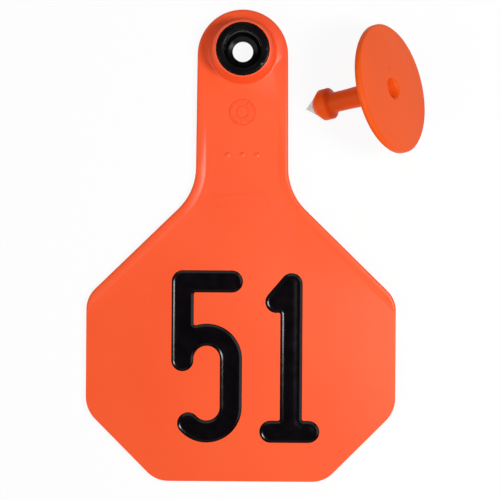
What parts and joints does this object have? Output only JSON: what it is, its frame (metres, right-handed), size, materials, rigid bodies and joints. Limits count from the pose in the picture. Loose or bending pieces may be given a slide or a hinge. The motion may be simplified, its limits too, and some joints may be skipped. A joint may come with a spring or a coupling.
{
  "type": "livestock ear tag",
  "caption": "Livestock ear tag: a numbered flag panel with neck, bossed head and hard socket bush, and its disc stud, whose metal-tipped barb locks into the bush.",
  "frame": {"origin": "on the axis of the stud's hole in the socket bush, at the tag's flat back face, which is the ground that tag and stud lie on", "axes": "+Z out of the numbered face and up from the ground, +Y from the panel along the neck to the head, +X to the right as the number is read"},
  "size_m": [0.0755, 0.1058, 0.0245],
  "materials": {
    "tag_polyurethane": "orange polyurethane, satin moulded face",
    "bush_plastic": "hard black plastic, satin",
    "number_ink": "black ink set in the groove, glossy",
    "stud_polyurethane": "orange polyurethane, satin moulded face",
    "tip_metal": "grey cast metal, satin"
  },
  "bodies": {
    "root": {"tag_panel": "tag_polyurethane", "socket_bush": "bush_plastic", "number_five_ink": "number_ink", "number_one_ink": "number_ink", "stud_button": "stud_polyurethane", "piercing_tip": "tip_metal"}
  },
  "joints": []
}
